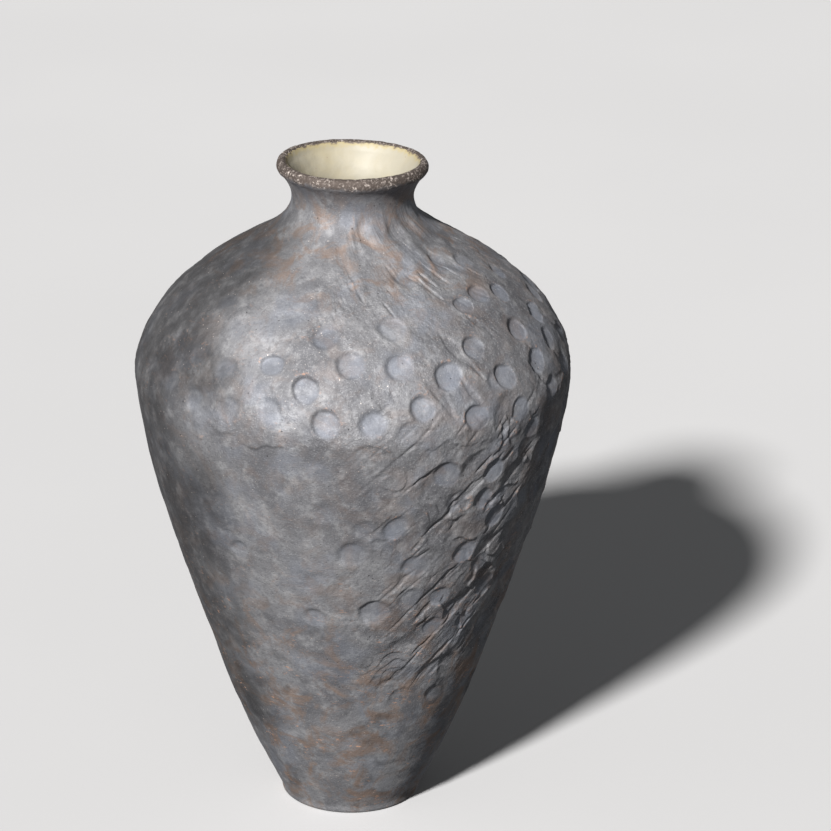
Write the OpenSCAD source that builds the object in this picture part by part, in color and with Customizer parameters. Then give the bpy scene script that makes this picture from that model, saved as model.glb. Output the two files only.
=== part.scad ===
// Hand-built black clay jar: a floor slab, wall courses laid one on another,
// a neck collar, a rolled lip and a glaze skin inside.
// Millimetres. Z is up, the origin is the middle of the base, the front faces -Y.

/* [Body] */
// Height to the top of the lip
height = 465; // [440:5:490]
// Radius at the edge of the shoulder, the widest place
belly_r = 150; // [140:1:160]
// Height of the shoulder edge
belly_z = 318; // [305:1:325]
// Radius of the side wall just above the rounded foot
foot_r = 50.5; // [45:0.5:56]
// Wall thickness of the body
wall_t = 8; // [6:0.5:10]
// Thickness of the floor slab
floor_t = 11; // [9:0.5:14]
// Size of the coil pressed into the corner between floor and wall
fillet = 12; // [8:1:16]

/* [Neck and lip] */
// Outer radius at the narrowest place of the neck
neck_r = 42; // [38:0.5:46]
// Largest radius of the lip
lip_r = 51.5; // [49:0.5:56]
// Wall thickness of the neck
neck_t = 6.5; // [5:0.5:8]

/* [Building courses] */
// Courses between the floor and the shoulder edge
wall_courses = 6; // [6:6]
// Courses between the shoulder edge and the neck
shoulder_courses = 3; // [3:3]
// How much lower a course's rim is inside than outside, so the next course laps it
scarf = 5; // [0:1:8]

/* [Glaze] */
// Thickness of the glaze skin inside
glaze_t = 1; // [0.8:0.1:1.5]

/* [Thumb presses] */
// Depth factor of the thumb presses
press_depth = 1; // [0.5:0.1:1.2]
// Presses in one row round the back of the shoulder
back_row = 13; // [8:1:16]

/* [Hidden] */
$fn = 96;

clay = "#3b3b3e";
clay_light = "#4a4a4e";
lip_clay = "#5a4638";
cream = "#e8dfc4";

// The foot's edge is rounded: flat underneath to this radius, and this high.
foot_flat = foot_r - 3.5;
foot_round = 6;
// Halfway up the side wall: height, and how far it stands inside the shoulder edge
mid_wall_z = belly_z / 2 - 2;
mid_wall_in = 40;
// The shoulder edge turns between these two heights, this far inside belly_r at each.
edge_low = belly_z - 8;
edge_low_in = 0.6;
edge_high = belly_z + 9;
edge_high_in = 1.2;
// A place on the dome of the shoulder
dome_z = belly_z + 57;
dome_in = 31;
// The neck: its root on the dome, its narrowest place, and where it flares under the lip.
collar_foot = height - 50;
root_flare = 18;
neck_z = height - 26;
collar_top = height - 11;
top_flare = 6;
// Outside of the jar as stations of a smooth curve, from the floor to under the lip.
// Each is radius, height and the heading of the outline (0 = outward, 90 = straight up).
outside = [
    [foot_flat, 0, 0],
    [foot_r, foot_round, 62],
    [belly_r - mid_wall_in, mid_wall_z, 71.5],
    [belly_r - edge_low_in, edge_low, 83],
    [belly_r - edge_high_in, edge_high, 103],
    [belly_r - dome_in, dome_z, 136],
    [neck_r + root_flare, collar_foot, 147],
    [neck_r, neck_z, 91],
    [neck_r + top_flare, collar_top, 55]
];
last_t = len(outside) - 1;

// One span between two stations is a cubic curve that leaves and arrives on their headings.
function dir(a) = [cos(a), sin(a)];
function side(a) = [-sin(a), cos(a)];
function span_pull(p, q) =
    let (turn = abs(q[2] - p[2]), chord = norm([q[0] - p[0], q[1] - p[1]]))
    turn < 1 ? chord / 3 : chord * (4 / 3) * tan(turn / 4) / (2 * sin(turn / 2));
function bezier(a, b, c, d, u) =
    pow(1 - u, 3) * a + 3 * pow(1 - u, 2) * u * b + 3 * (1 - u) * u * u * c + pow(u, 3) * d;
function bezier_slope(a, b, c, d, u) =
    pow(1 - u, 2) * (b - a) + 2 * (1 - u) * u * (c - b) + u * u * (d - c);
function span(p, q, u, slope = false) =
    let (
        a = [p[0], p[1]],
        d = [q[0], q[1]],
        b = a + span_pull(p, q) * dir(p[2]),
        c = d - span_pull(p, q) * dir(q[2])
    )
    slope ? bezier_slope(a, b, c, d, u) : bezier(a, b, c, d, u);

// The outline at t, where the whole number of t counts the stations.
function at(chain, t, slope = false) =
    let (i = min(floor(t), len(chain) - 2))
    span(chain[i], chain[i + 1], t - i, slope);
function outer(t) = at(outside, t);

// The inside is the outside moved in by the wall's thickness, square to the surface.
// The body's thickness changes to the neck's within this much of the collar's foot.
blend = 15;
function thickness(z) =
    z < collar_foot - blend ? wall_t
    : z > collar_foot + blend ? neck_t
    : wall_t + (neck_t - wall_t) * (z - collar_foot + blend) / (2 * blend);
function inner(t) =
    let (p = outer(t), s = at(outside, t, true), n = s / norm(s))
    p + thickness(p[1]) * [-n[1], n[0]];

// t where the outside or the inside reaches height z, by halving.
function t_outer(z, lo = 0, hi = last_t, n = 24) =
    n == 0 ? (lo + hi) / 2
    : let (m = (lo + hi) / 2)
      outer(m)[1] < z ? t_outer(z, m, hi, n - 1) : t_outer(z, lo, m, n - 1);
function t_inner(z, lo = 1, hi = last_t, n = 24) =
    n == 0 ? (lo + hi) / 2
    : let (m = (lo + hi) / 2)
      inner(m)[1] < z ? t_inner(z, m, hi, n - 1) : t_inner(z, lo, m, n - 1);

// Joints between the courses, as heights on the outside. The first is the slab's top.
// The last shoulder course ends this far below the collar's foot.
collar_seat = 2;
shoulder_step = (collar_foot - collar_seat - belly_z) / shoulder_courses;
wall_step = (belly_z - floor_t) / wall_courses;
joints = concat(
    [for (i = [0 : wall_courses]) floor_t + i * wall_step],
    [for (i = [1 : shoulder_courses]) belly_z + i * shoulder_step],
    [collar_top]
);
courses = len(joints) - 1;
function lap(i) = i == 0 || i == courses ? 0 : scarf;
points_per_course = 12;
function steps(a, b, n) = [for (i = [0 : n]) a + (b - a) * i / n];
function course_outside(i) =
    [for (t = steps(t_outer(joints[i]), t_outer(joints[i + 1]), points_per_course)) outer(t)];
function inside_end(i) = i == courses ? last_t : t_inner(joints[i] - lap(i));
function course_inside(i) =
    [for (t = steps(inside_end(i), inside_end(i + 1), points_per_course)) inner(t)];
function reversed(list) = [for (i = [len(list) - 1 : -1 : 0]) list[i]];

// The lip rolls over from the collar's outside to its inside. It is widest this far
// below the top, and highest this far inside its widest place.
lip_drop = 5.2;
lip_crest_in = 3.8;
collar_out = outer(last_t);
collar_in = inner(last_t);
lip_heading = outside[last_t][2];
lip_chain = [
    [collar_out[0], collar_out[1], lip_heading],
    [lip_r, height - lip_drop, 95],
    [lip_r - lip_crest_in, height, 180],
    [collar_in[0], collar_in[1], lip_heading + 180]
];
lip_steps = 24;
// The glaze ends a little inside the lip's crest, which is at 2 on the lip's chain.
glaze_end = 2.3;
function lip_curve(a, b) = [for (t = steps(a, b, lip_steps)) at(lip_chain, t)];

// The corner coil covers the first few points of the lowest course inside. Its face
// leaves the floor level and meets the wall at this heading.
fillet_points = 3;
fillet_heading = 65;
fillet_steps = 8;
corner = course_inside(0)[0];
corner_top = course_inside(0)[fillet_points];
corner_floor = [corner[0] - fillet, floor_t];
function fillet_arc() =
    [for (u = steps(0, 1, fillet_steps)) span(
        [corner_floor[0], corner_floor[1], 0],
        [corner_top[0], corner_top[1], fillet_heading],
        u
    )];

// Inside surface under the glaze, from the axis up to the lip.
function under_glaze() = concat(
    [[0, floor_t]],
    fillet_arc(),
    [for (i = [fillet_points + 1 : points_per_course]) course_inside(0)[i]],
    [for (i = [1 : courses - 1]) for (k = [1 : points_per_course]) course_inside(i)[k]],
    [for (t = steps(3, glaze_end, 6)) if (t < 3) at(lip_chain, t)]
);
// The glaze thins out over its last few points, so it ends level with the lip.
glaze_taper = 4;
function skin_at(i, count) = glaze_t * min(1, (count - i) / glaze_taper);
// The glaze's own face: every point moved in by the skin's thickness.
function glaze_face(p) = [
    for (i = [0 : len(p) - 1])
        let (
            a = p[max(i - 1, 0)],
            b = p[min(i + 1, len(p) - 1)],
            s = (b - a) / norm(b - a)
        )
        i == 0 ? p[0] + [0, glaze_t] : p[i] + skin_at(i, len(p)) * [-s[1], s[0]]
];

// Thumb presses seen from the front: angle round from the front (positive to the right),
// height, width and depth.
front_presses = [
    [-69, 337, 17, 1.4], [-56, 335, 18, 1.4], [-46, 331, 19, 1.4], [-34, 331, 20, 1.6],
    [-22, 334, 22, 1.5], [-7, 330, 22, 2.2], [5, 330, 23, 2], [18, 337, 20, 2.2],
    [33, 326, 20, 2.4], [48, 322, 19, 2.2], [63, 325, 19, 2.2], [76, 331, 19, 2.2],
    [-61, 359, 17, 1.4], [-49, 357, 18, 1.4], [-38, 354, 19, 1.8], [-24, 361, 18, 2],
    [-13, 349, 20, 2.4], [-1, 364, 22, 2.2], [13, 362, 23, 2.2], [27, 354, 22, 2.4],
    [45, 346, 19, 2.6], [60, 346, 19, 2.4], [72, 352, 18, 2.2],
    [-52, 386, 17, 1.3], [-9, 378, 22, 1.8], [13, 382, 23, 1.8], [38, 366, 18, 2.2],
    [44, 387, 16, 2], [59, 367, 18, 2.4], [55, 389, 18, 2], [66, 385, 17, 2.2],
    [76, 367, 17, 2.2], [80, 391, 15, 2], [26, 404, 18, 1.4], [67, 403, 17, 1.6],
    [25, 288, 22, 2.2], [40, 283, 18, 2.2], [38, 263, 17, 2], [44, 246, 18, 2.2],
    [12, 251, 20, 1.6], [0, 232, 23, 1.4], [19, 219, 22, 1.8], [35, 222, 20, 1.8],
    [7, 183, 23, 2], [19, 192, 22, 1.4], [29, 190, 18, 1.6], [49, 187, 20, 2.2],
    [29, 165, 18, 1.8], [-12, 178, 18, 1.4], [-35, 225, 17, 1.4]
];
// Round the back they run in rows over the arc that the list leaves, from back_start on.
// Each row has its height and a shift, in steps.
back_rows = [[326, 0], [350, 0.5], [374, 0]];
back_start = 96;
back_arc = 168;
back_width = 19;
back_depth = 1.8;
back_presses = [
    for (row = back_rows) for (k = [0 : back_row - 1])
        [back_start + (k + row[1]) * back_arc / back_row, row[0], back_width, back_depth]
];
presses = concat(front_presses, back_presses);
// A press this near to a course, along Z, may cut into it.
press_reach = 13;

// The ball that leaves one press, its middle on the line square to the wall.
module press(p) {
    t = t_outer(p[1]);
    slope = at(outside, t, true);
    out = [slope[1], -slope[0]] / norm(slope);
    depth = p[3] * press_depth;
    ball = (p[2] * p[2] / 4 + depth * depth) / (2 * depth);
    middle = outer(t) + (ball - depth) * out;
    rotate([0, 0, p[0] - 90]) translate([middle[0], 0, middle[1]]) sphere(r = ball);
}

module turned(points) {
    rotate_extrude() polygon(points);
}

module course(i) {
    low = joints[i] - press_reach;
    high = joints[i + 1] + press_reach;
    near = [for (p = presses) if (p[1] > low && p[1] < high) p];
    difference() {
        turned(concat(course_outside(i), reversed(course_inside(i))));
        for (p = near) press(p);
    }
}

module floor_slab() {
    rim = [for (t = steps(0, t_outer(floor_t), points_per_course)) outer(t)];
    color(clay) turned(concat([[0, 0]], rim, [[0, floor_t]]));
}

module floor_fillet_coil() {
    back = [for (i = [0 : fillet_points]) course_inside(0)[i]];
    arc = fillet_arc();
    face = [for (i = [len(arc) - 2 : -1 : 0]) arc[i]];
    color(clay_light) turned(concat(back, face));
}

module wall_course_1() { color(clay) course(0); }
module wall_course_2() { color(clay_light) course(1); }
module wall_course_3() { color(clay) course(2); }
module wall_course_4() { color(clay_light) course(3); }
module wall_course_5() { color(clay) course(4); }
module wall_course_6() { color(clay_light) course(5); }
module shoulder_course_1() { color(clay) course(6); }
module shoulder_course_2() { color(clay_light) course(7); }
module shoulder_course_3() { color(clay) course(8); }
module neck_collar() { color(clay_light) course(9); }

module lip_coil() {
    color(lip_clay) turned(lip_curve(0, 3));
}

module glaze_lining() {
    back = under_glaze();
    color(cream) turned(concat(back, reversed(glaze_face(back))));
}

floor_slab();
floor_fillet_coil();
wall_course_1();
wall_course_2();
wall_course_3();
wall_course_4();
wall_course_5();
wall_course_6();
shoulder_course_1();
shoulder_course_2();
shoulder_course_3();
neck_collar();
lip_coil();
glaze_lining();
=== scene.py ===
"""Looks of a hand-built black clay jar.

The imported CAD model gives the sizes. Every clay course is rebuilt here as a closed mesh whose
outside carries the thumb presses, drag marks and lumps of the real surface, and all the courses
take their shape from one shared surface, so they meet without a step.
"""
import math

import bpy
import numpy as np
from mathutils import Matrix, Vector


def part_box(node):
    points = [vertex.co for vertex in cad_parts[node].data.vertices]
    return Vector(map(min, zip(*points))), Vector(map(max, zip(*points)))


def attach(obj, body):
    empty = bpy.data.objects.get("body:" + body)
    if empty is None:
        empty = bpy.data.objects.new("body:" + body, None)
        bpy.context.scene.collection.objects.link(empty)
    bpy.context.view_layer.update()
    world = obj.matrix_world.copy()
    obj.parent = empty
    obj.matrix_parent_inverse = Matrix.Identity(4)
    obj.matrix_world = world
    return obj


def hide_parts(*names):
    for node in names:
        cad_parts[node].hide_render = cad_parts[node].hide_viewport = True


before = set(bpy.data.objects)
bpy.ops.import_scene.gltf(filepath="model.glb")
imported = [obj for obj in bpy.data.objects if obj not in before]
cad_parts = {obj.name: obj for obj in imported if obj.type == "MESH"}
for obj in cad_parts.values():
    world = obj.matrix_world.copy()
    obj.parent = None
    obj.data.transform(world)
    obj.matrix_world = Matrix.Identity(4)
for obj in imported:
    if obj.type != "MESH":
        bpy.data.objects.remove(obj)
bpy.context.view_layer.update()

# ---------------------------------------------------------------- sizes, in millimetres
MM = 0.001


def box_mm(node):
    low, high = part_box(node)
    return np.array(low) / MM, np.array(high) / MM


HEIGHT = round(box_mm("lip_coil")[1][2])
BELLY_R = round(box_mm("shoulder_course_1")[1][0])
WALL_NODES = [f"wall_course_{i}" for i in range(1, 7)]
SHOULDER_NODES = [f"shoulder_course_{i}" for i in range(1, 4)]
COURSE_NODES = WALL_NODES + SHOULDER_NODES + ["neck_collar"]
FLOOR_T = box_mm("floor_slab")[1][2]
BELLY_Z = box_mm("wall_course_6")[1][2]
COLLAR_TOP = HEIGHT - 11
COLLAR_FOOT = HEIGHT - 50
FOOT_R = 50.5
FOOT_ROUND = 6
NECK_R = 42
LIP_R = 51.5
WALL_T = 8
NECK_T = 6.5
# How much lower the rim of a course is inside than outside
SCARF = 5
FILLET = 12
GLAZE_T = 1
# Where the glaze ends, as t along the stations of the lip
GLAZE_END = 2.3

# Points around the jar, and rows along it
COLUMNS = 1024
LINING_COLUMNS = 432
ROW_STEP = 0.82
LIP_ROW_STEP = 0.6
MIN_COURSE_ROWS = 6
MAX_COURSE_ROWS = 72
INNER_ROWS = 14
CHAIN_SAMPLES = 6001
INNER_SAMPLES = 4000

# ---------------------------------------------------------------- outline
# Stations of the outside: radius, height and heading (0 outward, 90 straight up), as in the CAD.
STATIONS = [
    (FOOT_R - 3.5, 0, 0),
    (FOOT_R, FOOT_ROUND, 62),
    (BELLY_R - 40, BELLY_Z / 2 - 2, 71.5),
    (BELLY_R - 0.6, BELLY_Z - 8, 83),
    (BELLY_R - 1.2, BELLY_Z + 9, 103),
    (BELLY_R - 31, BELLY_Z + 57, 136),
    (NECK_R + 18, COLLAR_FOOT, 147),
    (NECK_R, HEIGHT - 26, 91),
    (NECK_R + 6, COLLAR_TOP, 55),
]
LAST_T = len(STATIONS) - 1


def heading(angle):
    return np.array([math.cos(math.radians(angle)), math.sin(math.radians(angle))])


def span_handles(p, q):
    """The four control points of the cubic between two stations."""
    a, d = np.array(p[:2], float), np.array(q[:2], float)
    turn, chord = math.radians(abs(q[2] - p[2])), np.linalg.norm(d - a)
    if turn < 0.02:
        pull = chord / 3
    else:
        pull = chord * (4 / 3) * math.tan(turn / 4) / (2 * math.sin(turn / 2))
    return a, a + pull * heading(p[2]), d - pull * heading(q[2]), d


def outline(stations, t):
    """Points and unit tangents of a chain of stations at an array of t."""
    t = np.atleast_1d(np.asarray(t, float))
    index = np.clip(t.astype(int), 0, len(stations) - 2)
    points, tangents = np.zeros((len(t), 2)), np.zeros((len(t), 2))
    for i in range(len(stations) - 1):
        here = index == i
        if not here.any():
            continue
        u = (t[here] - i)[:, None]
        a, b, c, d = span_handles(stations[i], stations[i + 1])
        points[here] = (
            (1 - u) ** 3 * a + 3 * (1 - u) ** 2 * u * b + 3 * (1 - u) * u * u * c + u**3 * d
        )
        tangents[here] = (1 - u) ** 2 * (b - a) + 2 * (1 - u) * u * (c - b) + u * u * (d - c)
    return points, tangents / np.linalg.norm(tangents, axis=1)[:, None]


def inward(tangents):
    return np.stack([-tangents[:, 1], tangents[:, 0]], 1)


def wall_thickness(z):
    return np.interp(z, [COLLAR_FOOT - 15, COLLAR_FOOT + 15], [WALL_T, NECK_T])


def inner_outline(t):
    points, tangents = outline(STATIONS, t)
    return points + wall_thickness(points[:, 1])[:, None] * inward(tangents)


collar_out = outline(STATIONS, LAST_T)[0][0]
collar_in = inner_outline([LAST_T])[0]
LIP_STATIONS = [
    (collar_out[0], collar_out[1], STATIONS[-1][2]),
    (LIP_R, HEIGHT - 5.2, 95),
    (LIP_R - 3.8, HEIGHT, 180),
    (collar_in[0], collar_in[1], STATIONS[-1][2] + 180),
]

# The whole outside from the foot, over the lip and down to the collar inside, as one chain.
CHAIN = STATIONS + LIP_STATIONS[1:]
CHAIN_T = np.linspace(0, len(CHAIN) - 1, CHAIN_SAMPLES)
chain_points = outline(CHAIN, CHAIN_T)[0]
CHAIN_S = np.concatenate([[0], np.cumsum(np.linalg.norm(np.diff(chain_points, axis=0), axis=1))])
wall_part = CHAIN_T <= LAST_T


def t_at_height(z):
    """t where the outside of the wall reaches height z."""
    return np.interp(z, chain_points[wall_part, 1], CHAIN_T[wall_part])


def s_at_height(z):
    """Distance along the outside, from the edge of the foot, where it reaches height z."""
    return np.interp(t_at_height(z), CHAIN_T, CHAIN_S)


inner_t = np.linspace(1, LAST_T, INNER_SAMPLES)
inner_z = inner_outline(inner_t)[:, 1]


def inner_t_at_height(z):
    return np.interp(z, inner_z, inner_t)


# Joints between the courses: heights on the outside, and t of the rim inside.
joint_z = [FLOOR_T] + [box_mm(n)[1][2] for n in WALL_NODES + SHOULDER_NODES] + [COLLAR_TOP]
joint_t = [float(t_at_height(z)) for z in joint_z[:-1]] + [float(LAST_T)]
joint_inner_t = (
    [float(inner_t_at_height(FLOOR_T))]
    + [float(inner_t_at_height(z - SCARF)) for z in joint_z[1:-1]]
    + [float(LAST_T)]
)


# ---------------------------------------------------------------- noise
# Brings the spread of the noise close to -1 to 1
NOISE_GAIN = 1.6


def smoothstep(low, high, x):
    u = np.clip((x - low) / (high - low), 0, 1)
    return u * u * (3 - 2 * u)


class Noise:
    """Gradient noise in three dimensions, from about -1 to 1."""

    def __init__(self, seed):
        random = np.random.RandomState(seed)
        self.order = np.concatenate([random.permutation(256)] * 2)
        ways = random.normal(size=(256, 3))
        self.ways = (ways / np.linalg.norm(ways, axis=1)[:, None]).astype(np.float32)

    def __call__(self, x, y, z):
        cell = [np.floor(c).astype(np.int64) for c in (x, y, z)]
        part = [(c - k).astype(np.float32) for c, k in zip((x, y, z), cell)]
        fade = [c * c * c * (c * (c * 6 - 15) + 10) for c in part]
        total = np.zeros(np.shape(x), np.float32)
        for dx in (0, 1):
            wx = fade[0] if dx else 1 - fade[0]
            first = self.order[(cell[0] + dx) & 255]
            for dy in (0, 1):
                wy = fade[1] if dy else 1 - fade[1]
                second = self.order[(first + cell[1] + dy) & 255]
                for dz in (0, 1):
                    wz = fade[2] if dz else 1 - fade[2]
                    way = self.ways[self.order[(second + cell[2] + dz) & 255]]
                    dot = (
                        way[..., 0] * (part[0] - dx)
                        + way[..., 1] * (part[1] - dy)
                        + way[..., 2] * (part[2] - dz)
                    )
                    total += wx * wy * wz * dot
        return total * NOISE_GAIN


def cloud(x, y, z, size, seed, octaves=3, gain=0.5):
    """Layers of noise. size is the width of the largest lumps, in millimetres."""
    total, weight = 0.0, 1.0
    for k in range(octaves):
        scale = 2**k / size
        total = total + weight * Noise(seed + k)(x * scale, y * scale, z * scale)
        weight *= gain
    return total


# ---------------------------------------------------------------- thumb presses
# Seen from the front: degrees round (positive to the right), height, width, depth, crispness.
FRONT_PRESSES = [
    (-69, 337, 17, 1.4, 0.4), (-56, 335, 18, 1.4, 0.4), (-46, 331, 19, 1.4, 0.4),
    (-34, 331, 20, 1.6, 0.6), (-22, 334, 22, 1.5, 0.5), (-7, 330, 22, 2.2, 0.8),
    (5, 330, 23, 2.0, 0.5), (18, 337, 20, 2.2, 0.8), (33, 326, 20, 2.4, 1.0),
    (48, 322, 19, 2.2, 0.8), (63, 325, 19, 2.2, 0.8), (76, 331, 19, 2.2, 0.8),
    (-61, 359, 17, 1.4, 0.4), (-49, 357, 18, 1.4, 0.4), (-38, 354, 19, 1.8, 0.5),
    (-24, 361, 18, 2.0, 0.9), (-13, 349, 20, 2.4, 1.0), (-1, 364, 22, 2.2, 0.7),
    (13, 362, 23, 2.2, 0.6), (27, 354, 22, 2.4, 0.9), (45, 346, 19, 2.6, 1.0),
    (60, 346, 19, 2.4, 0.9), (72, 352, 18, 2.2, 0.8), (-52, 386, 17, 1.3, 0.3),
    (-9, 378, 22, 1.8, 0.6), (13, 382, 23, 1.8, 0.6), (38, 366, 18, 2.2, 0.9),
    (44, 387, 16, 2.0, 0.9), (59, 367, 18, 2.4, 1.0), (55, 389, 18, 2.0, 0.9),
    (66, 385, 17, 2.2, 1.0), (76, 367, 17, 2.2, 1.0), (80, 391, 15, 2.0, 0.9),
    (26, 404, 18, 1.4, 0.5), (67, 403, 17, 1.6, 0.6), (25, 288, 22, 2.2, 0.8),
    (40, 283, 18, 2.2, 0.9), (38, 263, 17, 2.0, 0.8), (44, 246, 18, 2.2, 0.9),
    (12, 251, 20, 1.6, 0.8), (0, 232, 23, 1.4, 0.6), (19, 219, 22, 1.8, 0.7),
    (35, 222, 20, 1.8, 0.7), (7, 183, 23, 2.0, 0.8), (19, 192, 22, 1.4, 0.4),
    (29, 190, 18, 1.6, 0.8), (49, 187, 20, 2.2, 0.8), (29, 165, 18, 1.8, 0.8),
    (-12, 178, 18, 1.4, 0.6), (-35, 225, 17, 1.4, 0.5),
]
# Round the back they run in rows, each row shifted by half a step, as in the CAD.
BACK_ROW = 13
BACK_ROWS = [(326, 0.0), (350, 0.5), (374, 0.0)]
BACK_START = 96
BACK_ARC = 168
BACK_SEED = 11
# Softer marks that only the finished surface has: degrees, height, width, depth, crispness.
SOFT_MARKS = [
    (-7, 264, 24, 0.8, 0.2), (3, 252, 18, 0.8, 0.3), (-11, 208, 24, 0.7, 0.2),
    (14, 321, 22, 1.0, 0.4), (1, 70, 22, 0.8, 0.1), (-65, 321, 19, 1.0, 0.3),
    (29, 266, 20, 1.0, 0.4), (43, 210, 18, 1.4, 0.6), (43, 163, 17, 1.4, 0.6),
    (56, 150, 18, 1.4, 0.6), (38, 104, 16, 1.2, 0.6), (22, 122, 20, 0.9, 0.3),
    (53, 305, 18, 1.6, 0.6), (60, 280, 19, 1.6, 0.6), (57, 252, 18, 1.6, 0.6),
    (58, 222, 18, 1.6, 0.6), (62, 190, 18, 1.6, 0.6), (41, 345, 17, 1.2, 0.5),
    (86, 345, 18, 1.8, 0.8), (88, 371, 17, 1.8, 0.8), (52, 408, 16, 1.2, 0.5),
    (-3, 398, 24, 0.8, 0.2), (-25, 384, 24, 0.7, 0.2), (-40, 376, 22, 0.8, 0.2),
]


# Strewn presses: the most there can be, the tries, and the least gap in millimetres.
STREWN = 62
STREWN_TRIES = 4000
STREWN_GAP = 23
STREWN_SEED = 5
DENTS = 170
DENT_SEED = 23


def back_presses():
    """The rows round the back, a little uneven, as a hand leaves them."""
    random = np.random.RandomState(BACK_SEED)
    made = []
    for row_height, shift in BACK_ROWS:
        for k in range(BACK_ROW):
            angle = BACK_START + (k + shift) * BACK_ARC / BACK_ROW + random.uniform(-1.2, 1.2)
            height = row_height + random.uniform(-2, 2)
            width = random.uniform(18, 21)
            depth = random.uniform(1.8, 2.4)
            crisp = random.uniform(0.5, 1.0)
            made.append((angle, height, width, depth, crisp))
    return made


def strewn_presses():
    """Presses strewn over the lower wall on the right and round the back."""
    random = np.random.RandomState(STREWN_SEED)
    made = []
    tries = 0
    while len(made) < STREWN and tries < STREWN_TRIES:
        tries += 1
        # the far end of the range is drawn too, so that they thin out with no straight edge
        far = 258 - 44 * random.rand()
        angle = random.uniform(62, far)
        height = random.uniform(120, 304)
        per_degree = 2.2 * (0.5 + height / 620)
        gaps = [math.hypot((angle - m[0]) * per_degree, height - m[1]) for m in made]
        if gaps and min(gaps) < STREWN_GAP:
            continue
        width = random.uniform(15, 22)
        depth = random.uniform(1.2, 2.2)
        crisp = random.uniform(0.3, 0.9)
        made.append((angle, height, width, depth, crisp))
    return made


def hand_dents():
    """Broad shallow dents that the heel of the hand left over the right wall and the back."""
    random = np.random.RandomState(DENT_SEED)
    made = []
    for _ in range(DENTS):
        angle = random.uniform(14, 255)
        height = random.uniform(105, 322)
        width = random.uniform(19, 36)
        depth = random.uniform(0.8, 1.7)
        crisp = random.uniform(0.15, 0.75)
        made.append((angle, height, width, depth, crisp))
    return made


# ---------------------------------------------------------------- the shared outside surface
def outside_rows():
    """t of every row of the outside, and the row number of each joint."""
    rows, marks = [0.0], [0]
    stops = joint_t + [float(len(CHAIN) - 1)]
    start = 0.0
    for stop in stops:
        s0, s1 = np.interp([start, stop], CHAIN_T, CHAIN_S)
        step = ROW_STEP if start < LAST_T - 0.5 else LIP_ROW_STEP
        count = int(min(MAX_COURSE_ROWS, max(MIN_COURSE_ROWS, math.ceil((s1 - s0) / step))))
        rows += list(np.interp(np.linspace(s0, s1, count + 1)[1:], CHAIN_S, CHAIN_T))
        rows[-1] = stop
        marks.append(len(rows) - 1)
        start = stop
    return np.array(rows), marks


row_t, row_marks = outside_rows()
row_points, row_tangents = outline(CHAIN, row_t)
row_s = np.interp(row_t, CHAIN_T, CHAIN_S)
row_r, row_z = row_points[:, 0], row_points[:, 1]
angles = np.arange(COLUMNS) * 2 * math.pi / COLUMNS
degrees = np.degrees(angles)
degrees[degrees > 180] -= 360

# Every point of the outside: radius, distance along from the foot, height, degrees and plan.
R = row_r[:, None] + 0 * angles
S = row_s[:, None] + 0 * angles
Z = row_z[:, None] + 0 * angles
A = degrees[None, :] + 0 * row_r[:, None]
X = R * np.sin(angles)
Y = -R * np.cos(angles)


def wrap(a):
    return (a + 180) % 360 - 180


def span_mask(a, centre, half, soft):
    """1 within half of centre, falling to 0 over soft, in degrees round the jar."""
    return 1 - smoothstep(half, half + soft, np.abs(wrap(a - centre)))


def band(z, low, high, soft):
    return smoothstep(low - soft, low, z) * (1 - smoothstep(high, high + soft, z))


# Where the wall was worked roughly: the right side seen from the front, and round the back.
rough_side = span_mask(A, 105, 72, 46) * band(Z, 150, 300, 55)
rough_dome = span_mask(A, 100, 85, 60) * band(Z, 322, 400, 18)
rough = np.clip(rough_side + rough_dome, 0, 1)

# A usual radius of the jar, which turns a tilt into degrees round per millimetre along
TURN_R = 120
# How far inside the turned outline the finished surface lies, before its marks
SET_BACK = 0.75


def stamp(field, floor_mark, press, wobble):
    """Press one thumb mark into the relief. The deepest mark wins where two overlap."""
    angle, height, width, depth, crisp = press
    s0 = float(s_at_height(height))
    r0 = float(np.interp(height, row_z[: row_marks[-2]], row_r[: row_marks[-2]]))
    reach = width * 0.95
    rows = np.nonzero(np.abs(row_s - s0) < reach)[0]
    half_turn = math.degrees(reach / max(r0 * 0.8, 20))
    columns = np.nonzero(np.abs(wrap(degrees - angle)) < half_turn)[0]
    grid = np.ix_(rows, columns)
    p = np.radians(wrap(A[grid] - angle)) * R[grid]
    q = S[grid] - s0
    ball = width / 2 * (1 + 0.10 * wobble[grid])
    # the thumb goes in at the top of the mark, or at its upper left on the right side, and
    # slides out at the other end, where the mark fades away
    lean = math.radians(15 + 40 * float(smoothstep(-35, 20, angle)))
    along = (-math.sin(lean) * p + math.cos(lean) * q) / ball
    across = (math.cos(lean) * p + math.sin(lean) * q) / ball
    uneven = 1 + 0.08 * math.sin(3.1 * angle + height)
    rho = np.hypot(across * uneven, along / uneven)
    tail = 0.20 * crisp
    slide = tail + (1 - tail) * smoothstep(-1.0, 0.60, along)
    edge = np.interp(crisp, [0, 1], [0.70, 0.24])
    inside = 1 - smoothstep(1 - edge, 1.05, rho)
    bowl = 1.08 - 0.30 * rho**2
    field[grid] = np.minimum(field[grid], -depth * inside * slide * bowl)
    floor_mark[grid] = np.maximum(floor_mark[grid], inside * min(1, depth / 2))


def strokes(tilt, size, length, seed, octaves=3):
    """Noise drawn out along lines that climb to the right at tilt degrees, all round the jar."""
    turn = np.radians(A) - S / (TURN_R * math.tan(math.radians(tilt)))
    x, y = TURN_R * np.sin(turn) / size, TURN_R * np.cos(turn) / size
    return cloud(x, y, S / length, 1, seed, octaves)


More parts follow.
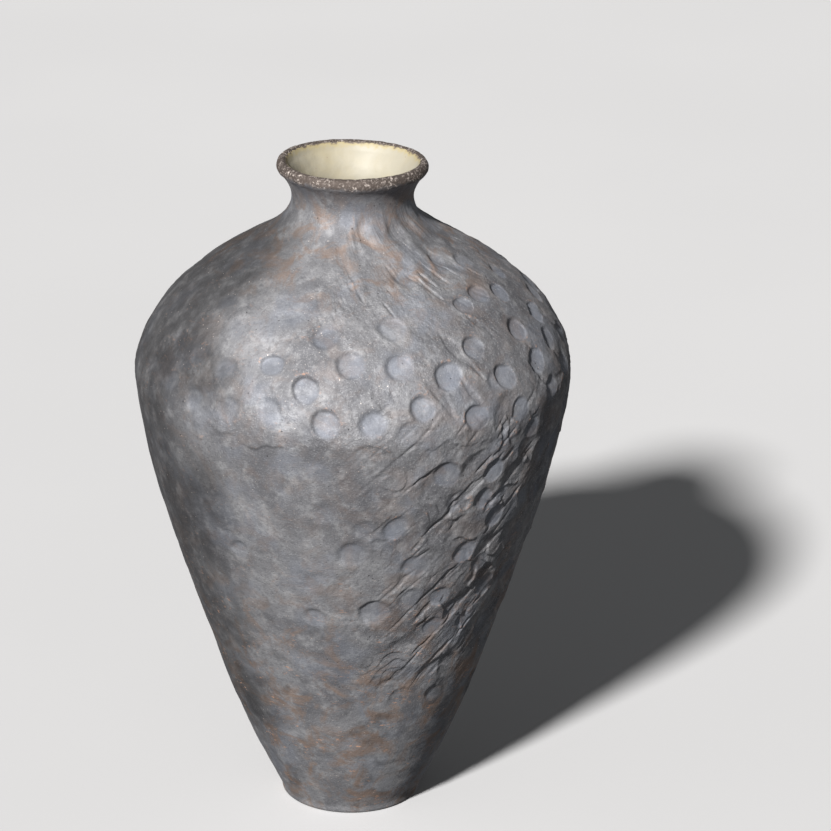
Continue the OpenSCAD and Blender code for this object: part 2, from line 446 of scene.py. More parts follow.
def ledges(tilt, count, warp, seed):
    """Overlapping slabs of clay, 0 to 1: each rises slowly to its lower right edge and drops."""
    turn = np.radians(A) - S / (TURN_R * math.tan(math.radians(tilt)))
    v = count * turn / (2 * math.pi) + warp * cloud(X, Y, Z, 40, seed, 3, 0.45)
    part = v - np.floor(v)
    return part**1.3 * (1 - smoothstep(0.88, 1.0, part))


def press_relief():
    """Every thumb mark and hand dent, and a mask of the floors of the thumb marks."""
    wobble = cloud(X, Y, Z, 15, 40, 2)
    dents = np.zeros_like(R)
    floor_mark = np.zeros_like(R)
    for press in FRONT_PRESSES + SOFT_MARKS + back_presses() + strewn_presses():
        stamp(dents, floor_mark, press, wobble)
    unmarked = np.zeros_like(R)
    for dent in hand_dents():
        stamp(dents, unmarked, dent, wobble)
    return dents, floor_mark


def grain_relief(floor_mark):
    """The grit of the clay, weaker in the floors of presses and low on the wall."""
    gritty = 0.35 + 0.65 * rough + 0.85 * band(Z, 312, 372, 16) * (1 - rough)
    gritty = gritty * (1 - 0.62 * floor_mark) * (1 - 0.45 * (1 - smoothstep(90, 190, Z)))
    return 0.17 * cloud(X, Y, Z, 4.6, 70, 2, 0.6) * gritty


def lump_relief():
    """Slow lumps over the whole wall, stronger on the dome and weak on the neck."""
    body = smoothstep(0, 14, S) * (1 - smoothstep(COLLAR_FOOT + 6, COLLAR_TOP, Z) * 0.75)
    lumpy = 0.38 + 0.30 * band(Z, 330, 420, 20)
    lumps = 0.60 * cloud(X, Y, Z, 60, 50, 2) + lumpy * cloud(X, Y, Z, 24, 60, 2)
    return lumps * body


def wiped_relief():
    """The level marks of wiping on the smooth part of the lower wall."""
    wiped = 0.15 * cloud(X * 0.12, Y * 0.12, Z, 7, 120, 2) * band(Z, 14, 240, 30)
    return wiped * (1 - rough)


def side_strokes():
    """The right side: overlapping slabs that climb to the right, with torn edges and scratches."""
    patchy = smoothstep(-0.05, 0.32, cloud(X, Y, Z, 27, 84, 2))
    slabs = 1.35 * (ledges(48, 19, 2.1, 80) - 0.38) * patchy
    slabs += 0.34 * strokes(54, 12, 40, 86, 2) + 0.13 * strokes(54, 3.2, 22, 89, 2)
    torn = -0.9 * smoothstep(0.30, 0.62, strokes(50, 6.5, 26, 92, 2))
    return rough_side * (slabs + torn)


def dome_strokes():
    """The dome: furrows dragged down from the neck, and cuts on its rough side."""
    dome = band(Z, 330, 425, 22)
    furrows = 0.62 * strokes(-66, 20, 60, 96, 2) + 0.12 * strokes(-62, 3.6, 30, 99, 2)
    cuts = -0.8 * smoothstep(0.34, 0.60, strokes(-62, 9, 34, 102, 2))
    return dome * furrows * (0.35 + 0.65 * span_mask(A, 60, 55, 50)) + rough_dome * cuts


def neck_folds():
    """Folds at the root of the neck, strongest on the right."""
    place = band(Z, COLLAR_FOOT - 10, COLLAR_FOOT + 10, 13)
    side = 0.30 + 0.70 * span_mask(A, 42, 34, 40)
    twist = 1.3 * cloud(X, Y, Z, 30, 105, 2)
    folds = np.abs(np.sin(np.radians(A) * 5 + 1.8 * twist))
    return place * side * (0.7 - 1.7 * folds**2.2)


def torn_step():
    """The torn step left under the lowest row of presses at the front."""
    ragged = 6 * cloud(X, Y, Z * 0.3, 24, 110, 4, 0.6)
    above = Z - (BELLY_Z - 7 + ragged)
    step = smoothstep(-1.4, 0.6, above) * (1 - smoothstep(0.6, 20, above))
    patchy = smoothstep(-0.3, 0.2, cloud(X, Y, Z, 30, 115, 2))
    return 0.75 * step * span_mask(A, -6, 34, 20) * patchy


def lip_relief(on_lip):
    """The pitted, uneven lip, plain at its inner end, where it meets the glaze."""
    lip = 0.22 * cloud(X, Y, Z, 6, 130, 3, 0.6) + 0.50 * cloud(X, Y, Z, 38, 140, 2) - 0.3
    inside_rim = smoothstep(len(CHAIN) - 2.0, len(CHAIN) - 1.3, row_t)[:, None]
    return lip * on_lip * (1 - inside_rim)


def relief():
    """How far the finished surface stands out from the turned outline, in millimetres."""
    dents, floor_mark = press_relief()
    height = dents + grain_relief(floor_mark) + lump_relief() + wiped_relief() - SET_BACK
    dragged = (side_strokes() + dome_strokes()) * (1 - 0.60 * floor_mark)
    height += dragged + neck_folds() + torn_step()
    on_lip = smoothstep(COLLAR_TOP - 3, COLLAR_TOP + 3, Z)
    height = height * (1 - on_lip) + lip_relief(on_lip)
    return height * smoothstep(-2, 6, S), floor_mark


def blurred(field, times):
    """The field smoothed over a few millimetres, round the jar and along it."""
    out = field.copy()
    for _ in range(times):
        out = (out + np.roll(out, 1, 1) + np.roll(out, -1, 1)) / 3
        padded = np.vstack([out[:1], out, out[-1:]])
        out = (padded[:-2] + padded[1:-1] + padded[2:]) / 3
    return out


# How far the whole jar is out of true. The first two are shares of its radius, and the rest are
# millimetres, apart from the share of the height at which it doesn't lean.
OVAL = 0.004
MOUTH_LOBES = 0.005
MOUTH_TILT = 0.7
MOUTH_WAVE = 0.5
MOUTH_DROP = 1.1
LEAN = 1.6
LEAN_PIVOT = 0.55
SHOULDER_SHIFT = 0.9


def hand_shape(x, y, z):
    """The slow unevenness of a hand-built jar: a slight lean and a mouth that isn't round."""
    u = np.clip(z / HEIGHT, 0, 1)
    a = np.arctan2(x, -y)
    oval = OVAL * np.sin(2 * a + 0.6) * u
    lobes = MOUTH_LOBES * np.sin(a * 3 + 1.0) * smoothstep(0.9, 1, u)
    stretch = 1 + oval + lobes
    x, y = x * stretch, y * stretch
    high = smoothstep(COLLAR_FOOT, HEIGHT, z)
    z = z + high * (MOUTH_TILT * np.sin(a + 2.2) + MOUTH_WAVE * np.sin(2 * a - 0.4) - MOUTH_DROP)
    shoulder = SHOULDER_SHIFT * smoothstep(0.45, 0.70, u) * (1 - smoothstep(0.80, 0.93, u))
    return x + LEAN * (u - LEAN_PIVOT) + shoulder, y, z


surface_height, press_floor = relief()
outward = -inward(row_tangents)
radius_out = R + surface_height * outward[:, :1]
height_out = Z + surface_height * outward[:, 1:]
OUT = np.stack(
    hand_shape(radius_out * np.sin(angles), -radius_out * np.cos(angles), height_out), -1
)
OUT[..., 2] = np.maximum(OUT[..., 2], 0)

around = np.roll(OUT, -1, 1) - np.roll(OUT, 1, 1)
along = np.gradient(OUT, axis=0)
OUT_NORMAL = np.cross(around, along)
OUT_NORMAL /= np.maximum(np.linalg.norm(OUT_NORMAL, axis=-1), 1e-9)[..., None]

fine = surface_height - blurred(surface_height, 2)
wide = surface_height - blurred(surface_height, 9)
CREST = np.clip(0.5 + 1.6 * fine + 0.55 * wide, 0, 1)
# painted shade: the shadow over the left flank, painted into the clay's colour as a dark cloud
shade_edge = A + 13 * cloud(X, Y, Z, 60, 170, 3)
painted_shade = span_mask(shade_edge, -92, 34, 28) * smoothstep(20, 90, Z)
painted_shade = painted_shade * (1 - 0.7 * smoothstep(COLLAR_FOOT - 5, COLLAR_FOOT + 20, Z))
MARKS = {"press": press_floor, "rough": rough, "crest": CREST, "painted_shade": painted_shade}


# ---------------------------------------------------------------- mesh making
def make_mesh(name, points, faces, normals=None, sharp=None):
    """A mesh object from arrays in millimetres. faces is (count, 4), a repeat making a triangle.

    sharp numbers the points of each ring that keeps a hard edge, and is 0 elsewhere.
    """
    triangle = faces[:, 2] == faces[:, 3]
    sizes = np.where(triangle, 3, 4)
    keep = np.ones(faces.shape, bool)
    keep[triangle, 3] = False
    corners = faces[keep]
    starts = np.concatenate([[0], np.cumsum(sizes)[:-1]])
    mesh = bpy.data.meshes.new(name)
    mesh.vertices.add(len(points))
    mesh.vertices.foreach_set("co", (points * MM).astype(np.float32).ravel())
    mesh.loops.add(len(corners))
    mesh.loops.foreach_set("vertex_index", corners.astype(np.int32))
    mesh.polygons.add(len(faces))
    mesh.polygons.foreach_set("loop_start", starts.astype(np.int32))
    mesh.polygons.foreach_set("use_smooth", np.ones(len(faces), bool))
    mesh.update(calc_edges=True)
    if sharp is not None:
        ends = np.zeros(len(mesh.edges) * 2, np.int32)
        mesh.edges.foreach_get("vertices", ends)
        ends = ends.reshape(-1, 2)
        ring = sharp[ends]
        flags = (ring[:, 0] > 0) & (ring[:, 0] == ring[:, 1])
        mesh.edges.foreach_set("use_edge_sharp", flags)
    if normals is not None:
        mesh.normals_split_custom_set(normals[keep].astype(np.float32))
    made = bpy.data.objects.new(name, mesh)
    bpy.context.scene.collection.objects.link(made)
    return made


def loop_faces(rows, columns, closed):
    """Quads between neighbouring rings of a grid, the last ring joined to the first if closed."""
    i = np.arange(rows if closed else rows - 1)[:, None]
    j = np.arange(columns)[None, :]
    after, beside = (i + 1) % rows, (j + 1) % columns
    quads = np.stack(
        [i * columns + j, i * columns + beside, after * columns + beside, after * columns + j], -1
    )
    return quads.reshape(-1, 4)


def turned_rings(profile, columns):
    """Rings of points from a profile of (radius, height), in the jar's hand-made shape."""
    a = np.arange(columns) * 2 * math.pi / columns
    r, z = profile[:, :1], profile[:, 1:]
    return np.stack(hand_shape(r * np.sin(a), -r * np.cos(a), z + 0 * a), -1)


def ring_piece(name, first, last, hidden):
    """A closed ring: rows first to last of the shared outside, then the hidden rows back."""
    inner = turned_rings(hidden, COLUMNS)
    rings = np.concatenate([OUT[first : last + 1], inner])
    rows, outer_rows = len(rings), last - first + 1
    faces = loop_faces(rows, COLUMNS, True)
    normals = np.zeros((len(faces), 4, 3))
    last_out = (outer_rows - 2) * COLUMNS
    for k in (0, 1):
        at = (np.arange(COLUMNS) + k) % COLUMNS
        normals[:COLUMNS, k] = OUT_NORMAL[first, at]
        normals[last_out : last_out + COLUMNS, 3 - k] = OUT_NORMAL[last, at]
    ring_of = np.zeros(rows, int)
    for number, ring in enumerate((0, outer_rows - 1, outer_rows, rows - 1)):
        ring_of[ring] = number + 1
    sharp = np.repeat(ring_of, COLUMNS)
    made = make_mesh(name, rings.reshape(-1, 3), faces, normals, sharp)
    add_marks(made, first, last)
    return made


def add_layer(made, name, values):
    """One number per point, which a material reads by name."""
    layer = made.data.attributes.new(name, "FLOAT", "POINT")
    layer.data.foreach_set("value", values.astype(np.float32))


def add_marks(made, first, last, before=0):
    """Masks for the clay's colour and bump. They are 0 on hidden points, and an even crest on
    the points before the shared outside begins."""
    for key, field in MARKS.items():
        shown = field[first : last + 1].ravel()
        values = np.zeros(len(made.data.vertices))
        values[:before] = 0.5 if key == "crest" else 0
        values[before : before + len(shown)] = shown
        add_layer(made, key, values)


def hidden_rows(i):
    """The inside of course i, from its top rim down."""
    return inner_outline(np.linspace(joint_inner_t[i + 1], joint_inner_t[i], INNER_ROWS))


def course_piece(i):
    return ring_piece(COURSE_NODES[i], row_marks[i + 1], row_marks[i + 2], hidden_rows(i))


def lip_piece():
    """The rolled lip, closed by its seat on the collar."""
    seat = np.linspace(collar_in, collar_out, 6)[1:-1]
    return ring_piece("lip_coil", row_marks[-2], row_marks[-1], seat)


def capped_piece(name, rings, normals=None, sharp=()):
    """A closed piece from rings that start and end at a middle point."""
    rows, columns = rings.shape[:2]
    poles = np.array([rings[0].mean(0), rings[-1].mean(0)])
    points = np.concatenate([rings.reshape(-1, 3), poles])
    j = np.arange(columns)
    beside = (j + 1) % columns
    low, high = rows * columns, rows * columns + 1
    top = (rows - 1) * columns
    start = np.stack([beside, j, 0 * j + low, 0 * j + low], 1)
    end = np.stack([top + j, top + beside, 0 * j + high, 0 * j + high], 1)
    faces = np.concatenate([loop_faces(rows, columns, False), start, end])
    ring_of = np.zeros(rows, int)
    for number, ring in enumerate(sharp):
        ring_of[ring] = number + 1
    ring_of = np.concatenate([np.repeat(ring_of, columns), [0, 0]])
    if normals is not None:
        row, values = normals
        custom = np.zeros((len(faces), 4, 3))
        first = (row - 1) * columns
        custom[first : first + columns, 3] = values
        custom[first : first + columns, 2] = np.roll(values, -1, 0)
        normals = custom
    return make_mesh(name, points, faces, normals, ring_of)


def floor_piece():
    """The slab: a slightly hollow underside, the rounded foot and the flat top."""
    under_r = np.array([1.5, 8, 15, 22, 28, 32, 35, 37.5, 40, 43, 45.5])
    r = under_r[:, None] + 0 * angles
    x, y = r * np.sin(angles), -r * np.cos(angles)
    hollow = 0.9 * (1 - smoothstep(30, 39, r)) + 0.25 * cloud(x, y, 0 * x, 12, 150, 3)
    under = np.stack(hand_shape(x, y, np.maximum(hollow, 0)), -1)
    under[..., 2] = np.maximum(under[..., 2], 0)
    side_rows = OUT[: row_marks[1] + 1]
    edge_r = row_r[row_marks[1]]
    top_r = np.array([edge_r - WALL_T, edge_r - WALL_T - FILLET, edge_r / 3, 1.5])
    top = turned_rings(np.stack([top_r, np.full(len(top_r), float(FLOOR_T))], 1), COLUMNS)
    rings = np.concatenate([under, side_rows, top])
    edge = len(under) + row_marks[1]
    made = capped_piece("floor_slab", rings, (edge, OUT_NORMAL[row_marks[1]]), (edge,))
    add_marks(made, 0, row_marks[1], len(under) * COLUMNS)
    return made


def corner_curve():
    """The face of the corner coil as points, from the floor to the wall, and its t on the wall."""
    corner = inner_outline([joint_inner_t[0]])[0]
    top_t = joint_inner_t[0] + (joint_inner_t[1] - joint_inner_t[0]) / 4
    top = inner_outline([top_t])[0]
    stations = [(corner[0] - FILLET, FLOOR_T, 0), (top[0], top[1], 65)]
    return outline(stations, np.linspace(0, 0.9999, 13))[0], top_t


def corner_piece():
    """The coil pressed into the corner between the floor and the wall."""
    face, top_t = corner_curve()
    back = inner_outline(np.linspace(joint_inner_t[0], top_t, 6))
    profile = np.concatenate([back, face[-2:0:-1], face[:1]])
    rings = turned_rings(profile, LINING_COLUMNS)
    faces = loop_faces(len(rings), LINING_COLUMNS, True)
    return make_mesh("floor_fillet_coil", rings.reshape(-1, 3), faces)


# The distance from the glaze's edge that its two middle points are given, in millimetres
FAR = 99


def glaze_line():
    """The clay that the glaze covers, from the middle of the floor to the glaze's end on the lip."""
    face, top_t = corner_curve()
    floor_r = np.array([2.0, 12, 22, 30])
    floor_line = np.stack([floor_r, np.full(len(floor_r), float(FLOOR_T))], 1)
    middle_t = inner_t_at_height(380)
    low = np.linspace(top_t, middle_t, 70)[1:]
    high = np.linspace(middle_t, LAST_T, 66)[1:]
    wall = inner_outline(np.concatenate([low, high]))
    rim = outline(LIP_STATIONS, np.linspace(3, GLAZE_END, 12)[1:])[0]
    return np.concatenate([floor_line, face, wall, rim])


def glaze_piece():
    """The glaze: its back follows the clay inside, its face is a thin uneven skin over it."""
    line = glaze_line()
    slope = np.gradient(line, axis=0)
    slope /= np.linalg.norm(slope, axis=1)[:, None]
    into = np.stack([-slope[:, 1], slope[:, 0]], 1)
    run = np.concatenate([[0], np.cumsum(np.linalg.norm(np.diff(line, axis=0), axis=1))])
    to_end = run[-1] - run

    a = np.arange(LINING_COLUMNS) * 2 * math.pi / LINING_COLUMNS
    r, z = line[:, :1] + 0 * a, line[:, 1:] + 0 * a
    x, y = r * np.sin(a), -r * np.cos(a)
    uneven = 0.30 * cloud(x, y, z, 14, 160, 2) + 0.35 * cloud(x, y, z, 45, 165, 2)
    thick = GLAZE_T * (0.75 + uneven) * smoothstep(-1.5, 9, to_end)[:, None]
    thick = np.clip(thick, 0.04, 2 * GLAZE_T)
    r, z = r + thick * into[:, :1], z + thick * into[:, 1:]
    skin = np.stack(hand_shape(r * np.sin(a), -r * np.cos(a), z), -1)

    # nobody sees the back, so every third row of it is enough
    keep = np.arange(0, len(line), 3)
    keep = np.append(keep[keep < len(line) - 2], len(line) - 1)
    back = turned_rings(line[keep], LINING_COLUMNS)
    made = capped_piece("glaze_lining", np.concatenate([back, skin[::-1]]))
    rows = np.concatenate([to_end[keep], to_end[::-1]])
    add_layer(made, "from_edge", np.append(np.repeat(rows, LINING_COLUMNS), [FAR, FAR]))
    return made


# ---------------------------------------------------------------- materials
def linear(red, green, blue):
    """A colour given as on a screen, 0 to 255, in the renderer's linear light."""
    values = [c / 255 for c in (red, green, blue)]
    values = [c / 12.92 if c <= 0.04045 else ((c + 0.055) / 1.055) ** 2.4 for c in values]
    return (*values, 1)


class Graph:
    """Short calls that add shader nodes and link them."""

    def __init__(self, name):
        self.material = bpy.data.materials.new(name)
        self.material.use_nodes = True
        self.tree = self.material.node_tree
        self.tree.nodes.clear()
        self.place = self.add("ShaderNodeTexCoord").outputs["Object"]
        self.height = self.add("ShaderNodeSeparateXYZ", {0: self.place}).outputs["Z"]

    def add(self, kind, inputs=None, **settings):
        node = self.tree.nodes.new(kind)
        for key, value in settings.items():
            setattr(node, key, value)
        for key, value in (inputs or {}).items():
            if isinstance(value, bpy.types.NodeSocket):
                self.tree.links.new(value, node.inputs[key])
            else:
                node.inputs[key].default_value = value
        return node

    def math(self, operation, a, b=0.0):
        return self.add("ShaderNodeMath", {0: a, 1: b}, operation=operation).outputs[0]

    def times(self, *values):
        total = values[0]
        for value in values[1:]:
            total = self.math("MULTIPLY", total, value)
        return total

    def plus(self, a, b):
        return self.math("ADD", a, b)

    def span(self, value, low, high, start=0.0, end=1.0):
        """value from low..high to start..end, held at the ends and eased between them."""
        inputs = {"Value": value, "From Min": low, "From Max": high, "To Min": start, "To Max": end}
        kind = "ShaderNodeMapRange"
        return self.add(kind, inputs, interpolation_type="SMOOTHSTEP").outputs["Result"]

    def band(self, value, low, high, soft):
        rise = self.span(value, low - soft, low)
        return self.times(rise, self.span(value, high, high + soft, 1.0, 0.0))

    def stretched(self, x=1.0, y=1.0, z=1.0, turn=(0, 0, 0)):
        inputs = {"Vector": self.place, "Rotation": turn, "Scale": (x, y, z)}
        return self.add("ShaderNodeMapping", inputs).outputs["Vector"]

    def noise(self, size, detail=3.0, rough=0.5, place=None, warp=0.0):
        """Soft noise, 0 to 1. size is the width of its lumps in millimetres."""
        inputs = {
            "Vector": place or self.place,
            "Scale": 1 / (size * MM),
            "Detail": detail,
            "Roughness": rough,
            "Distortion": warp,
        }
        return self.add("ShaderNodeTexNoise", inputs).outputs["Fac"]

    def cells(self, size, place=None):
        """Distance to the nearest of scattered points, 0 at a point."""
        inputs = {"Vector": place or self.place, "Scale": 1 / (size * MM)}
        return self.add("ShaderNodeTexVoronoi", inputs, feature="F1").outputs["Distance"]

    def mix(self, share, a, b):
        node = self.add("ShaderNodeMix", {"Factor": share}, data_type="RGBA")
        for socket, value in ((node.inputs[6], a), (node.inputs[7], b)):
            if isinstance(value, bpy.types.NodeSocket):
                self.tree.links.new(value, socket)
            else:
                socket.default_value = value
        return node.outputs[2]

    def mark(self, name):
        return self.add("ShaderNodeAttribute", attribute_name=name).outputs["Fac"]

    def bump(self, height, depth_mm, strength=1.0):
        inputs = {"Height": height, "Distance": depth_mm * MM, "Strength": strength}
        return self.add("ShaderNodeBump", inputs).outputs["Normal"]

    def finish(self, **inputs):
        named = {key.replace("_", " "): value for key, value in inputs.items()}
        shader = self.add("ShaderNodeBsdfPrincipled", named)
        self.add("ShaderNodeOutputMaterial", {"Surface": shader.outputs[0]})
        return self.material


ASH = linear(132, 132, 135)
ASH_DARK = linear(98, 98, 102)
ASH_LIGHT = linear(166, 166, 168)
BLUE_GREY = linear(124, 130, 142)
BROWN = linear(128, 110, 99)
COPPER = linear(192, 150, 124)
# a dark smoke tone, also used for painted shade on the left flank and in the pinholes
SOOT_AND_SHADE = linear(42, 41, 42)
LIP_BROWN = linear(84, 75, 70)
LIP_FLECK = linear(216, 204, 196)
CREAM = linear(146, 141, 127)
CREAM_THIN = linear(150, 138, 104)


def ash_colour(g, press, rough, mottle, fine, grit):
    """Ash grey in cloudy tones, with painted shade in the pits of the grain and painted highlight on
    its tops, bluer on the floors of presses.
    """
    clouds = g.noise(52, 4, 0.55, warp=0.5)
    colour = g.mix(g.span(clouds, 0.30, 0.68), ASH_DARK, ASH)
    colour = g.mix(g.times(g.span(mottle, 0.46, 0.72), 0.55), colour, ASH_LIGHT)
    # painted shade: darker where the fine grain of the bump dips
    grain_pit_shade = g.times(g.span(fine, 0.52, 0.36), 0.45)
    colour = g.mix(grain_pit_shade, colour, ASH_DARK)
    # painted highlight: lighter on the tops of the grit in the bump, more where the wall is rough
    grain_top_highlight = g.times(g.span(grit, 0.53, 0.68), g.plus(g.times(rough, 0.25), 0.30))
    colour = g.mix(grain_top_highlight, colour, ASH_LIGHT)
    floors = g.times(press, g.span(g.noise(18, 2), 0.30, 0.60, 0.45, 1.0))
    colour = g.mix(g.times(floors, 0.45), colour, BLUE_GREY)
    blush = g.span(g.noise(34, 3, 0.5, warp=0.5), 0.50, 0.66)
    return g.mix(g.times(blush, 0.30), colour, BLUE_GREY)


def browned_and_shaded(g, colour, low, mottle):
    """Brown where smoke didn't hold: low down, under the neck, and in patches. Then dark smoke
    clouds, strongest low down, and painted shade over the left flank.
    """
    under_neck = g.band(g.height, 0.400, 0.436, 0.016)
    zone = g.plus(g.plus(g.times(low, 0.62), g.times(under_neck, 0.50)), 0.24)
    patches = g.span(g.noise(21, 5, 0.65, warp=0.7), 0.46, 0.66)
    colour = g.mix(g.times(patches, zone), colour, BROWN)
    dark_clouds = g.times(g.span(g.noise(26, 4, 0.6, warp=0.4), 0.52, 0.70), 0.42)
    colour = g.mix(g.times(dark_clouds, g.plus(g.times(low, 0.8), 0.2)), colour, SOOT_AND_SHADE)
    # painted shade: the left flank darkened in colour where shade falls on it
    shade_share = g.times(g.mark("painted_shade"), g.span(mottle, 0.25, 0.75, 1.0, 0.72))
    return g.mix(g.times(shade_share, 0.80), colour, SOOT_AND_SHADE)


def coppered(g, colour, low, level):
    """Copper on raised edges and in bunches of short level flecks."""
    near = g.span(g.noise(19, 4, 0.6), 0.50, 0.64)
    worn = g.times(g.span(g.mark("crest"), 0.58, 0.90), g.span(g.noise(2.6, 4, 0.7), 0.46, 0.64))
    worn = g.times(worn, near, 0.55)
    dashes = g.span(g.noise(1.7, 3, 0.7, place=level), 0.57, 0.70)
    dashes = g.times(dashes, near, g.plus(g.times(low, 0.85), 0.16))
    return g.mix(g.math("MAXIMUM", worn, dashes), colour, COPPER)


def speck_and_pin(g):
    """Masks of scattered pale specks and of dark pinholes."""
    speck = g.times(g.span(g.cells(3.6), 0.12, 0.06), g.span(g.noise(10, 2), 0.46, 0.60))
    pin = g.span(g.cells(5.2, place=g.stretched(turn=(0.7, 0.3, 1.1))), 0.13, 0.06)
    return speck, g.times(pin, g.span(g.noise(15, 3), 0.54, 0.64))


def lip_and_flecks(g):
    """Masks of the lip, which is rubbed down to brown clay, and of its bright flecks."""
    ragged = g.plus(g.height, g.times(g.math("SUBTRACT", g.noise(7, 5, 0.65), 0.5), 0.010))
    lip = g.span(ragged, 0.4550, 0.4595)
    flecks = g.span(g.noise(1.9, 5, 0.72), 0.49, 0.64)
    return lip, g.times(flecks, g.span(g.noise(12, 3), 0.38, 0.56, 0.12, 1.0))


def clay_material():
    """Smoke-fired clay: ash grey clouds, blue-grey presses, brown wear and a rubbed brown lip.

    Heights in the shaders are in metres.
    """
    g = Graph("black_clay")
    press, rough = g.mark("press"), g.mark("rough")
    level = g.stretched(0.34, 0.34, 1.0)
    mottle = g.noise(11, 5, 0.6)
    fine = g.noise(2.6, 4, 0.65)
    grit = g.noise(1.1, 3, 0.6)
    low = g.span(g.height, 0.085, 0.245, 1.0, 0.0)

    colour = ash_colour(g, press, rough, mottle, fine, grit)
    colour = browned_and_shaded(g, colour, low, mottle)
    colour = coppered(g, colour, low, level)
    speck, pin = speck_and_pin(g)
    colour = g.mix(g.times(speck, 0.6), colour, LIP_FLECK)
    # painted shade: the pinholes darkened in colour, as shade in their pits
    colour = g.mix(g.times(pin, 0.7), colour, SOOT_AND_SHADE)
    lip, flecks = lip_and_flecks(g)
    colour = g.mix(lip, colour, g.mix(flecks, LIP_BROWN, LIP_FLECK))
    bright = g.times(lip, flecks)

    scratches = g.span(g.noise(1.4, 2, 0.6, place=level), 0.58, 0.70)
    tooth = g.plus(g.times(fine, 0.66), g.times(grit, 0.48))
    tooth = g.times(tooth, g.plus(g.times(rough, 0.5), 0.75), g.span(press, 0.2, 1.0, 1.0, 0.5))
    tooth = g.math("SUBTRACT", tooth, g.times(scratches, 0.10))
    tooth = g.math("SUBTRACT", tooth, g.times(pin, 0.5))
    tooth = g.plus(tooth, g.times(bright, 0.6))
    normal = g.bump(tooth, 0.62, 1.0)

    gloss = g.span(g.noise(13, 4, 0.6), 0.30, 0.70, 0.68, 0.82)
    gloss = g.math("SUBTRACT", gloss, g.times(speck, 0.22))
    gloss = g.math("SUBTRACT", gloss, g.times(bright, 0.24))
    # part metal gives the graphite sheen of the fired clay
    return g.finish(Base_Color=colour, Roughness=gloss, Metallic=0.65, IOR=1.6, Normal=normal)


def hidden_clay_material():
    """Clay that the glaze covers: plain charcoal with a grain."""
    g = Graph("clay_inside")
    grain = g.noise(3, 4, 0.6)
    colour = g.mix(g.span(g.noise(30, 3), 0.35, 0.65), ASH_DARK, ASH)
    gloss = g.span(grain, 0.3, 0.7, 0.6, 0.8)
    return g.finish(Base_Color=colour, Roughness=gloss, Normal=g.bump(grain, 0.4))


def glaze_material():
    """Cream glaze with a satin sheen, thin and brown at its edge."""
    g = Graph("cream_glaze")
    edge = g.mark("from_edge")
    clouds = g.noise(26, 3, 0.5, warp=0.3)
    colour = g.mix(g.times(g.span(clouds, 0.35, 0.70), 0.45), CREAM, CREAM_THIN)
    broken = g.plus(edge, g.times(g.math("SUBTRACT", g.noise(4, 4, 0.65), 0.5), 9.0))
    colour = g.mix(g.span(broken, 0.5, 4.5, 1.0, 0.0), colour, CREAM_THIN)
    colour = g.mix(g.span(broken, -0.5, 1.6, 1.0, 0.0), colour, LIP_BROWN)
    spots = g.times(g.span(g.cells(7.5), 0.10, 0.04), g.span(g.noise(16, 2), 0.50, 0.62))
    colour = g.mix(g.times(spots, 0.55), colour, BROWN)
    waves = g.plus(g.times(g.noise(9, 3), 1.1), g.times(g.noise(2.2, 3), 0.30))
    gloss = g.span(broken, 0.5, 4.0, 0.66, 0.58)
    return g.finish(Base_Color=colour, Roughness=gloss, IOR=1.5, Normal=g.bump(waves, 0.5, 0.6))


def floor_material():
    """A plain matte pale surface with a barely visible tooth."""
    g = Graph("pale_floor")
    tone = g.noise(900, 3, 0.5)
    colour = g.mix(g.span(tone, 0.3, 0.7), linear(176, 176, 177), linear(179, 179, 180))
    return g.finish(Base_Color=colour, Roughness=0.92, Normal=g.bump(g.noise(1.5, 2), 0.15, 0.3))


# ---------------------------------------------------------------- the jar
clay, clay_inside, glaze = clay_material(), hidden_clay_material(), glaze_material()


def show(made, node, material):
    """One finished piece: its material, the body it rides on and the CAD node it stands for."""
    made.data.materials.append(material)
    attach(made, "root")
    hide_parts(node)


show(floor_piece(), "floor_slab", clay)
show(corner_piece(), "floor_fillet_coil", clay_inside)
for index, node in enumerate(COURSE_NODES):
    show(course_piece(index), node, clay)
show(lip_piece(), "lip_coil", clay)
show(glaze_piece(), "glaze_lining", glaze)


# ---------------------------------------------------------------- floor, light and camera
FLOOR_REACH = 30
FLOOR_SIDES = 96
KEY_ENERGY = 8.4
# Degrees across
KEY_WIDTH = 6
KEY_COLOUR = (1.0, 0.985, 0.965)
# The direction from the jar to the key light
KEY_PLACE = (-0.356, -0.737, 0.574)
# The room's brightness by height, from 0 straight below to 1 straight above
ROOM_TONES = ((0.488, 0.18), (0.499, 0.60), (0.522, 0.60), (0.560, 0.15))
ROOM_TINT = (0.97, 0.985, 1.0)
CAMERA_PLACE = (0, -2.459, 1.215)
# Degrees that the camera looks down
CAMERA_TILT = 20.82
LENS = 166
SENSOR = 36
SHIFT_X = 0.0764


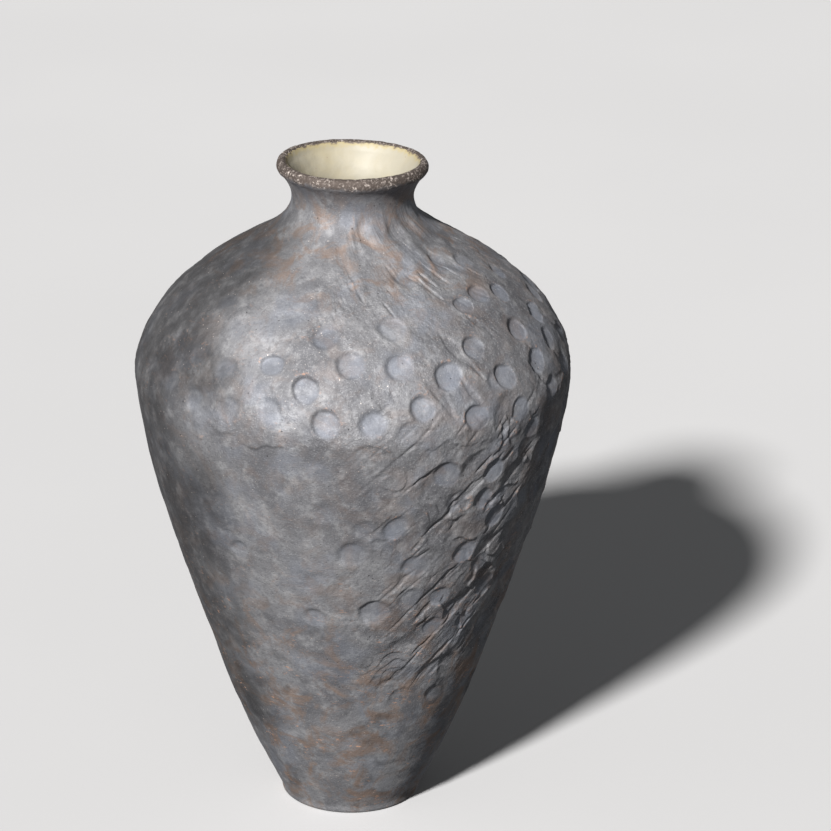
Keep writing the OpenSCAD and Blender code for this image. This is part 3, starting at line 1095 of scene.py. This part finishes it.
def make_floor():
    """A plain round floor, far wider than the view."""
    mesh = bpy.data.meshes.new("studio_floor")
    turns = [k * math.tau / FLOOR_SIDES for k in range(FLOOR_SIDES)]
    ring = [(FLOOR_REACH * math.cos(turn), FLOOR_REACH * math.sin(turn), 0) for turn in turns]
    mesh.from_pydata(ring, [], [list(range(FLOOR_SIDES))])
    floor = bpy.data.objects.new("studio_floor", mesh)
    bpy.context.scene.collection.objects.link(floor)
    mesh.materials.append(floor_material())
    # it catches the jar's shadow, and throws no light back on the jar
    floor.visible_diffuse = False
    floor.visible_glossy = False


def make_light():
    """One key light from the front left, a sun lamp a few degrees wide."""
    lamp = bpy.data.lights.new("key_light", "SUN")
    lamp.energy = KEY_ENERGY
    lamp.angle = math.radians(KEY_WIDTH)
    lamp.color = KEY_COLOUR
    key = bpy.data.objects.new("key_light", lamp)
    key.rotation_euler = Vector(KEY_PLACE).to_track_quat("Z", "Y").to_euler()
    bpy.context.scene.collection.objects.link(key)


def make_world():
    """A dim room, pale near the horizon. Below it, an even light stands in for the floor's."""
    world = bpy.data.worlds.new("room")
    world.use_nodes = True
    tree = world.node_tree
    background = tree.nodes["Background"]
    place = tree.nodes.new("ShaderNodeTexCoord")
    split = tree.nodes.new("ShaderNodeSeparateXYZ")
    rise = tree.nodes.new("ShaderNodeMapRange")
    rise.inputs["From Min"].default_value = -1
    ramp = tree.nodes.new("ShaderNodeValToRGB")
    while len(ramp.color_ramp.elements) < len(ROOM_TONES):
        ramp.color_ramp.elements.new(0.5)
    for element, (position, tone) in zip(ramp.color_ramp.elements, ROOM_TONES):
        element.position = position
        element.color = (*[tone * tint for tint in ROOM_TINT], 1)
    tree.links.new(place.outputs["Generated"], split.inputs[0])
    tree.links.new(split.outputs["Z"], rise.inputs["Value"])
    tree.links.new(rise.outputs["Result"], ramp.inputs["Fac"])
    tree.links.new(ramp.outputs["Color"], background.inputs["Color"])
    bpy.context.scene.world = world


def make_camera():
    """A long lens, at the photograph's viewing angle."""
    data = bpy.data.cameras.new("camera")
    data.sensor_width = SENSOR
    data.lens = LENS
    data.shift_x = SHIFT_X
    camera = bpy.data.objects.new("camera", data)
    camera.location = CAMERA_PLACE
    camera.rotation_euler = (math.radians(90 - CAMERA_TILT), 0, 0)
    bpy.context.scene.collection.objects.link(camera)
    bpy.context.scene.camera = camera


make_floor()
make_light()
make_world()
make_camera()
bpy.context.scene.view_settings.view_transform = "Standard"
